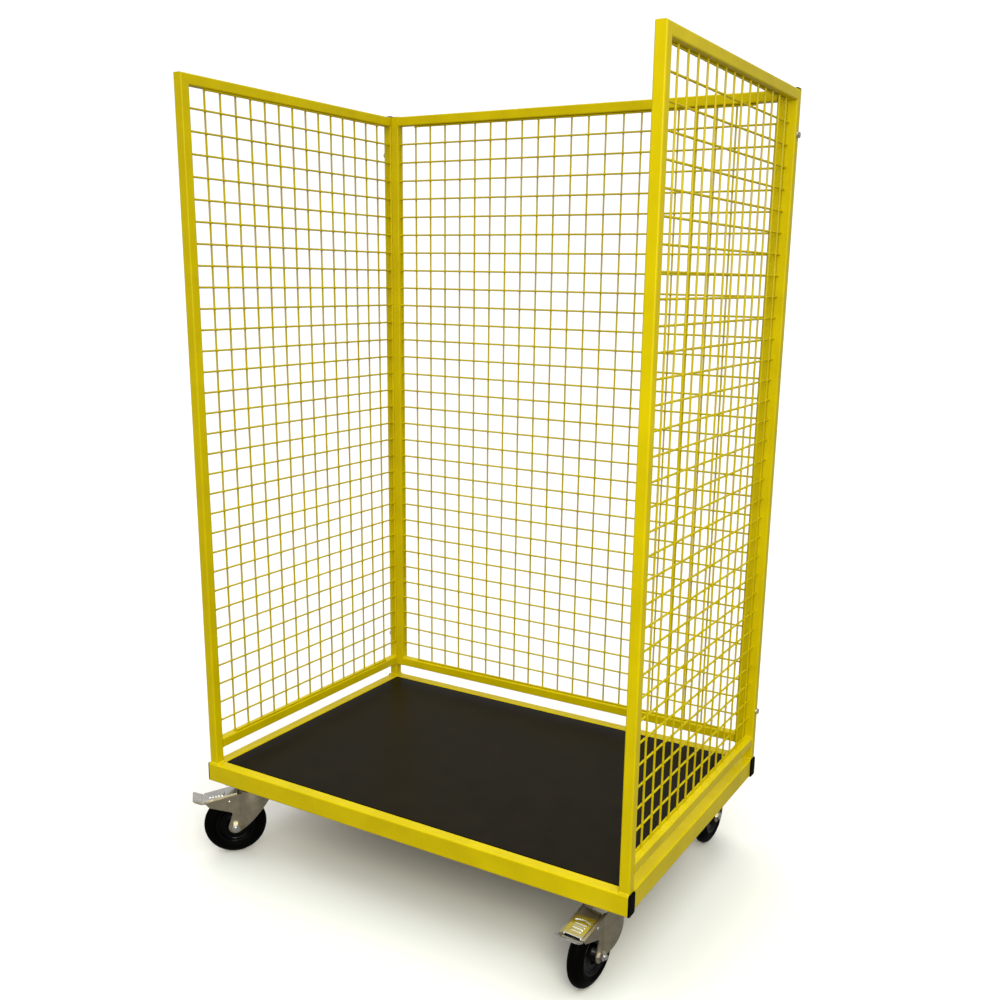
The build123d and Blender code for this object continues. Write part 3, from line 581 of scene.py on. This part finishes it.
def panel_bolts():
    """Bolts through the side panels' rear posts, with their heads outside."""
    low, high = corners_of("panel_bolts")
    post_low, post_high = corners_of("right_rear_post")
    y = (post_low[1] + post_high[1]) / 2
    grids = []
    for hand in (-1, 1):
        for z in (low[2] + PANEL_BOLT_ACROSS / 2, high[2] - PANEL_BOLT_ACROSS / 2):
            seat = np.array((hand * (post_high[0] + PANEL_WASHER), y, z))
            grids.append(hex_head(seat, hand * RIGHT, UP, PANEL_BOLT_ACROSS, PANEL_BOLT_HEAD))
            grids.append(shank(seat, -hand * RIGHT, UP, PANEL_BOLT_LENGTH, PANEL_BOLT_RADIUS,
                               PANEL_BOLT_PITCH, PANEL_BOLT_PLAIN))
    piece("panel_hex_bolts", grids, "frame", "bright_bolt_zinc", stands_for=["panel_bolts"])


def castor_bolts():
    """Four bolts in each castor's plate, heads down."""
    low, high = corners_of("castor_bolts")
    seat_z = low[2] + CASTOR_BOLT_HEAD
    spots = [joints[f"front_{side}_castor_swivel"]["pos_m"] for side in ("left", "right")]
    spots += [joints[f"rear_{side}_wheel_spin"]["pos_m"] for side in ("left", "right")]
    grids = []
    for x, y, _ in spots:
        for hand in (-1, 1):
            for end in (-1, 1):
                seat = np.array((x + hand * CASTOR_HOLES[0] / 2, y + end * CASTOR_HOLES[1] / 2, seat_z))
                grids.append(hex_head(seat, -UP, BACK, CASTOR_BOLT_ACROSS, CASTOR_BOLT_HEAD))
                grids.append(shank(seat, UP, BACK, high[2] - seat_z, CASTOR_BOLT_RADIUS,
                                   CASTOR_BOLT_PITCH, CASTOR_BOLT_PLAIN))
    piece("castor_hex_bolts", grids, "frame", "bright_bolt_zinc", stands_for=["castor_bolts"])


panel_bolts()
castor_bolts()


# Castors

CHEEK = 27 * MM
AXLE_ACROSS = 19 * MM
AXLE_HEAD = 7.5 * MM
AXLE_NUT = 10 * MM
AXLE_END = 43 * MM
AXLE_RADIUS = 6 * MM
AXLE_PITCH = 1.75 * MM
WHEEL_COLUMNS = 96
TYRE_RADIUS = 80 * MM
TYRE_HALF = 20 * MM
SHOULDER_DROP = 20 * MM
CROWN_POWER = 2.6
TREAD_POINTS = 97
GROOVES = (4.5 * MM, 9.5 * MM)
GROOVE_DEPTH = 0.9 * MM
GROOVE_WIDTH = 0.7 * MM
RIM_HALF = 16 * MM
RIM_RADIUS = 50 * MM
# Half profiles from the outside in: place along the axle, then radius
TYRE_SIDE = ((TYRE_HALF, TYRE_RADIUS - SHOULDER_DROP), (19.6 * MM, 57 * MM), (17.6 * MM, 55.5 * MM),
             (17.6 * MM, 53 * MM), (RIM_HALF, RIM_RADIUS))
RIM_DISH = ((23.7 * MM, 11 * MM), (23.7 * MM, 17 * MM), (20 * MM, 18.5 * MM), (10 * MM, 23 * MM),
            (9 * MM, 38 * MM), (12 * MM, 43 * MM), (15.8 * MM, 45 * MM), (RIM_HALF, RIM_RADIUS))


def wheel(name):
    """Tyre and rim about the wheel's own axis. The tyre's radius falls from its crown by a power of the
    distance to the side, less four bell-shaped grooves, and the rim is a dish with eased corners."""
    spin = joints[f"{name}_wheel_spin"]
    hub, axle = np.array(spin["pos_m"]), np.array(spin["axis"])
    across = np.sin(np.linspace(-1, 1, TREAD_POINTS) * math.pi / 2) * TYRE_HALF
    radius = TYRE_RADIUS - SHOULDER_DROP * np.abs(across / TYRE_HALF) ** CROWN_POWER
    for groove in GROOVES:
        radius -= GROOVE_DEPTH * np.exp(-((np.abs(across) - groove) / GROOVE_WIDTH) ** 2)
    side = eased(TYRE_SIDE, rounds=2)[1:]
    tread = np.stack((across, radius), axis=1)
    tyre = np.concatenate((tread, side, side[::-1] * (-1, 1)))
    piece(f"{name}_crowned_tyre", [turned(tyre, hub, axle, UP, WHEEL_COLUMNS)], f"{name}_wheel",
          "black_rubber", stands_for=[f"{name}_tyre"], loop=True)
    dish = eased(RIM_DISH, rounds=3)
    rim = np.concatenate((dish, dish[::-1] * (-1, 1)))
    piece(f"{name}_dished_rim", [turned(rim, hub, axle, UP, WHEEL_COLUMNS)], f"{name}_wheel",
          "rim_plastic", stands_for=[f"{name}_rim"], loop=True)


def axle_parts(name):
    """The axle's bolt and nut as grids: head outside one cheek, nut and thread end outside the other."""
    spin = joints[f"{name}_wheel_spin"]
    hub, axle = np.array(spin["pos_m"]), np.array(spin["axis"])
    head = hub - CHEEK * axle
    bolt = [hex_head(head, -axle, UP, AXLE_ACROSS, AXLE_HEAD),
            shank(head, axle, UP, CHEEK + AXLE_END, AXLE_RADIUS, AXLE_PITCH, 2 * CHEEK)]
    nut = [hex_head(hub + CHEEK * axle, axle, UP, AXLE_ACROSS, AXLE_NUT)]
    return bolt, nut


for name in ("front_left", "front_right", "rear_left", "rear_right"):
    wheel(name)

for name in ("front_left", "front_right"):
    bolt, nut = axle_parts(name)
    piece(f"{name}_axle_hex_bolt", bolt, f"{name}_swivel", "bright_bolt_zinc",
          stands_for=[f"{name}_axle_bolt"])
    piece(f"{name}_axle_hex_nut", nut, f"{name}_swivel", "bright_bolt_zinc",
          stands_for=[f"{name}_axle_nut"])

rear_bolts, rear_nuts = [], []
for name in ("rear_left", "rear_right"):
    bolt, nut = axle_parts(name)
    rear_bolts += bolt
    rear_nuts += nut
piece("rear_axle_hex_bolts", rear_bolts, "frame", "bright_bolt_zinc", stands_for=["rear_axle_bolts"])
piece("rear_axle_hex_nuts", rear_nuts, "frame", "bright_bolt_zinc", stands_for=["rear_axle_nuts"])


# Brake pedals of the front castors, in each castor's own lengths: back along the trail, along the axle, up

PEDAL_SHEET = 2.5 * MM
PAD_INNER = np.array((44.0, 175.6)) * MM
PAD_OUTER = np.array((128.0, 160.0)) * MM
PAD_HALF = 23.4 * MM
PAD_BACK_CORNER = 3 * MM
PAD_TIP_RUN = 2 * MM
PAD_TIP_DROP = 1.5 * MM
LIP_ROOT = np.array((118.0, 157.4)) * MM
LIP_FOOT = np.array((131.0, 153.5)) * MM
LIP_TIP = np.array((157.0, 166.0)) * MM
LIP_HALF = 30 * MM
LIP_NECK = PAD_HALF - 1 * MM
LIP_PLACES = np.array((0.0, 12.0, 15.0, 36.0, 42.0)) * MM
LIP_HALVES = (LIP_NECK, LIP_NECK, LIP_HALF, LIP_HALF, LIP_HALF - 4 * MM)
LIP_RIB = 5 * MM
LIP_RIB_HEIGHT = 0.6 * MM
LIP_RIB_START = 19 * MM
WEB_INSIDE = PAD_HALF - 4 * MM
WEB_OUTSIDE = PAD_HALF - 1 * MM
WEB_START = 16 * MM
WEB_END = 1 * MM
EMBOSS = 1.6 * MM
EMBOSS_SLOPE = 0.9 * MM
ARCH_PLACE = 36 * MM
ARCH_BOW = 12.0
ARCH_HALF = 19 * MM
ARCH_RIB = 2.7 * MM
BAR_PLACES = (49 * MM, 56.5 * MM, 64 * MM, 71.5 * MM)
BAR_HALVES = (15 * MM, 14 * MM, 13 * MM, 12 * MM)
BAR_RIB = 2.3 * MM
EAR_INSIDE = 19.5 * MM
EAR_THICKNESS = 3 * MM
EAR_RADIUS = 7 * MM
EAR_POINTS = 13
EAR_ROOTS = (42 * MM, 12 * MM)
EAR_SINK = 1 * MM
RIVET_RADIUS = 4.2 * MM
RIVET_HEIGHT = 1.6 * MM
RIVET_SHANK = 3 * MM
RIVET_DEPTH = 8 * MM
RIVET_COLUMNS = 24
GRID_STEP = 0.8 * MM


def castor_points(name, back, across, up):
    """World points of a front castor's own lengths: its trail runs level and square to the axle, from under
    the swivel axis."""
    axle = np.array(joints[f"{name}_wheel_spin"]["axis"])
    foot = np.array(joints[f"{name}_castor_swivel"]["pos_m"]) * (1, 1, 0)
    back, across, up = np.broadcast_arrays(back, across, up)
    return foot + back[..., None] * np.cross(axle, UP) + across[..., None] * axle + up[..., None] * UP


def ramp(depth):
    """A smooth step from 0 to 1 as the depth inside an edge grows over the emboss's slope."""
    part = np.clip(depth / EMBOSS_SLOPE + 0.5, 0, 1)
    return part * part * (3 - 2 * part)


def grip_ribs(run, across):
    """Height of the pad's pressed grip: one rib bowed as a parabola across the pad, then four straight ribs
    that shorten towards the tip. Each is raised where the depth inside its edges is positive."""
    bowed = run - ARCH_PLACE - ARCH_BOW * across ** 2
    raised = ramp(np.minimum(ARCH_RIB - np.abs(bowed), ARCH_HALF - np.abs(across)))
    for place, half in zip(BAR_PLACES, BAR_HALVES):
        raised = np.maximum(raised, ramp(np.minimum(BAR_RIB - np.abs(run - place), half - np.abs(across))))
    return EMBOSS * raised


def sheet(name, path, half, lift):
    """A bent sheet: the path's upper side carried across its half width at every place, raised by lift
    along its own normal, with the under side one sheet thickness below."""
    stretch = np.linalg.norm(np.diff(path, axis=0), axis=1)
    run = np.concatenate(((0,), np.cumsum(stretch)))
    places = np.linspace(0, run[-1], int(run[-1] / GRID_STEP) + 1)
    path = np.stack([np.interp(places, run, path[:, axis]) for axis in (0, 1)], axis=1)
    slope = np.gradient(path, places, axis=0)
    slope /= np.linalg.norm(slope, axis=1, keepdims=True)
    normal = np.stack((-slope[:, 1], slope[:, 0]), axis=1)
    half = np.interp(places, *half)
    columns = np.linspace(-1, 1, int(2 * half.max() / GRID_STEP) + 1)
    across = half[:, None] * columns
    raised = lift(places[:, None], across)
    upper = path[:, None] + raised[..., None] * normal[:, None]
    under = upper - PEDAL_SHEET * normal[:, None]
    ring = np.concatenate((upper, under[:, ::-1]), axis=1)
    across = np.concatenate((across, across[:, ::-1]), axis=1)
    return castor_points(name, ring[..., 0], across, ring[..., 1])[None]


def slab(name, outline, inner, outer):
    """A flat plate: an outline of (back, up) points carried along the axle from inner to outer."""
    outline = np.asarray(outline)
    across = np.array((inner, outer))[:, None]
    return castor_points(name, outline[:, 0], across, outline[:, 1])[None]


def lip_ribs(run, across):
    """Grip ribs on the lip: a squared sine across it, faded out along its root."""
    return LIP_RIB_HEIGHT * np.sin(math.pi * across / LIP_RIB) ** 2 * ramp(run - LIP_RIB_START)


def brake_pedal(name):
    """Pressed pedal: embossed pad, kicked-up lip under an open slot, two webs that join them, and two ears
    on the rivets."""
    pad = np.stack((PAD_INNER, PAD_OUTER))
    pad_length = np.linalg.norm(PAD_OUTER - PAD_INNER)
    pad_half = ((0, PAD_BACK_CORNER, pad_length - PAD_TIP_RUN, pad_length),
                (PAD_HALF - PAD_BACK_CORNER, PAD_HALF, PAD_HALF, PAD_HALF - PAD_TIP_DROP))
    lip = eased((LIP_ROOT, LIP_FOOT, LIP_TIP), rounds=4)
    fall = (PAD_OUTER - PAD_INNER) / pad_length
    under = np.array((fall[1], -fall[0])) * PEDAL_SHEET
    web = (PAD_OUTER - WEB_START * fall + under, PAD_OUTER - WEB_END * fall + under, LIP_FOOT, LIP_ROOT)
    pivot = np.array(joints[f"{name}_brake_press"]["pos_m"])
    axle = np.array(joints[f"{name}_wheel_spin"]["axis"])
    foot = np.array(joints[f"{name}_castor_swivel"]["pos_m"])
    eye = np.array(((pivot - foot) @ np.cross(axle, UP), pivot[2]))
    turn = np.linspace(-math.pi, 0, EAR_POINTS)
    roots = [PAD_INNER + place * fall + under + (0, EAR_SINK) for place in EAR_ROOTS]
    ear = np.vstack((eye + EAR_RADIUS * np.stack((np.cos(turn), np.sin(turn)), axis=1), roots))
    grids = [sheet(name, pad, pad_half, grip_ribs), sheet(name, lip, (LIP_PLACES, LIP_HALVES), lip_ribs)]
    for way in (-1, 1):
        grids.append(slab(name, web, way * WEB_INSIDE, way * WEB_OUTSIDE))
        grids.append(slab(name, ear, way * EAR_INSIDE, way * (EAR_INSIDE + EAR_THICKNESS)))
    piece(f"{name}_pressed_pedal", grids, f"{name}_brake", "zinc_plated_steel",
          stands_for=[f"{name}_brake_pedal"], look="pedal_zinc")
    bend = np.linspace(0, math.pi / 2, 7)[:-1]
    dome = np.concatenate((((-RIVET_DEPTH, RIVET_SHANK), (0, RIVET_SHANK)),
                           np.stack((RIVET_HEIGHT * np.sin(bend), RIVET_RADIUS * np.cos(bend)), axis=1)))
    heads = [turned(dome, pivot + way * CHEEK * axle, way * axle, UP, RIVET_COLUMNS) for way in (-1, 1)]
    piece(f"{name}_domed_rivets", heads, f"{name}_swivel", "bright_bolt_zinc",
          stands_for=[f"{name}_pedal_rivets"])


brake_pedal("front_left")
brake_pedal("front_right")


# Stage: pale floor, soft light and the photograph's view

FLOOR_SIZE = 60.0
FLOOR_DROP = 0.2 * MM
FLOOR_MOTTLE = 2 / 3
SIDE_FILL = 0.28
CEILING_FILL = 0.75
CEILING_HEIGHT = 0.8
BACKDROP = 1.1
OVERHEAD_COLOUR = (0.9, 1.0, 1.0)
FRONT_COLOUR = (1.0, 0.91, 0.78)
SOFT_BOX_COLOUR = (0.96, 1.0, 0.76)
PHOTO_SIDE = 1000
PHOTO_FOCAL = 1084.1
PHOTO_CENTRE = (523.3, 539.3)
SENSOR = 36.0
CAMERA_PLACE = (1.4108, -2.2700, 1.4985)
CAMERA_TURN = (76.452, -0.958, 30.185)


def pale_floor(tree, place):
    """Matt white studio floor with a barely visible mottle."""
    cloud = node(tree, "ShaderNodeTexNoise", {"Vector": place, "Scale": 1 / FLOOR_MOTTLE, "Detail": 2.0})
    tone = node(tree, "ShaderNodeValToRGB", {"Fac": cloud.outputs["Fac"]})
    tone.color_ramp.elements[0].color = linear("#EDEBE8")
    tone.color_ramp.elements[1].color = linear("#F0EEEB")
    return node(tree, "ShaderNodeBsdfPrincipled", {
        "Base Color": tone.outputs["Color"], "Roughness": 0.9, "Specular IOR Level": 0.1})


half_floor = FLOOR_SIZE / 2
floor_mesh = bpy.data.meshes.new("studio_floor")
floor_mesh.from_pydata(
    [(x * half_floor, y * half_floor, -FLOOR_DROP) for x, y in ((-1, -1), (1, -1), (1, 1), (-1, 1))],
    [], [(0, 1, 2, 3)])
floor_mesh.materials.append(finish("matt_white_floor", pale_floor))
floor = bpy.data.objects.new("studio_floor", floor_mesh)
bpy.context.scene.collection.objects.link(floor)
# The white floor stays out of the light on the trolley, which keeps its colours deep
floor.visible_diffuse = False
floor.visible_glossy = False


def lamp(name, kind, place, target, power, colour, **settings):
    """A light of one kind and colour at a place, facing a target point."""
    light = bpy.data.lights.new(name, kind)
    light.energy = power
    light.color = colour
    for key, value in settings.items():
        setattr(light, key, value)
    made = bpy.data.objects.new(name, light)
    made.location = place
    made.rotation_euler = (Vector(target) - Vector(place)).to_track_quat("-Z", "Y").to_euler()
    bpy.context.scene.collection.objects.link(made)
    return made


lamp("overhead_light", "SUN", (0.6, -0.3, 4.5), (0.0, 0.0, 0.0), 1.6, OVERHEAD_COLOUR,
     angle=math.radians(70))
lamp("front_light", "SUN", (1.2, -2.4, 1.3), (0.0, 0.0, 0.0), 0.7, FRONT_COLOUR, angle=math.radians(50))
lamp("front_soft_box", "AREA", (1.8, -2.1, 1.9), (0.6, -0.35, 1.3), 37, SOFT_BOX_COLOUR, size=1.0)
back_light = lamp("back_light", "SUN", (-2.0, 2.2, 1.0), (0.0, 0.0, 0.0), 1.2, FRONT_COLOUR,
                  angle=math.radians(60))
# The back light only fills the far sides and leaves no glare on the deck
back_light.visible_glossy = False

world = bpy.data.worlds.new("studio_light")
world.use_nodes = True
bpy.context.scene.world = world
tree = world.node_tree
tree.nodes.clear()
# The backdrop behind the trolley is white, and the fill light grows from the dim sides to the ceiling
seen = node(tree, "ShaderNodeLightPath", {}).outputs["Is Camera Ray"]
way = node(tree, "ShaderNodeTexCoord", {}).outputs["Generated"]
height = node(tree, "ShaderNodeSeparateXYZ", {"Vector": way}).outputs["Z"]
ceiling = node(tree, "ShaderNodeMapRange", {
    "Value": height, "From Min": 0.0, "From Max": CEILING_HEIGHT,
    "To Min": SIDE_FILL, "To Max": CEILING_FILL})
strength = node(tree, "ShaderNodeMix", {"Factor": seen, "A": ceiling.outputs["Result"], "B": BACKDROP})
fill = node(tree, "ShaderNodeBackground", {
    "Color": linear("#FFFFFF"), "Strength": strength.outputs["Result"]})
node(tree, "ShaderNodeOutputWorld", {"Surface": fill.outputs["Background"]})
bpy.context.scene.view_settings.view_transform = "Standard"

view = bpy.data.cameras.new("photo_view")
view.sensor_width = SENSOR
view.lens = PHOTO_FOCAL / PHOTO_SIDE * SENSOR
view.shift_x = 0.5 - PHOTO_CENTRE[0] / PHOTO_SIDE
view.shift_y = PHOTO_CENTRE[1] / PHOTO_SIDE - 0.5
camera = bpy.data.objects.new("photo_view", view)
camera.location = CAMERA_PLACE
camera.rotation_euler = [math.radians(turn) for turn in CAMERA_TURN]
bpy.context.scene.collection.objects.link(camera)
bpy.context.scene.camera = camera
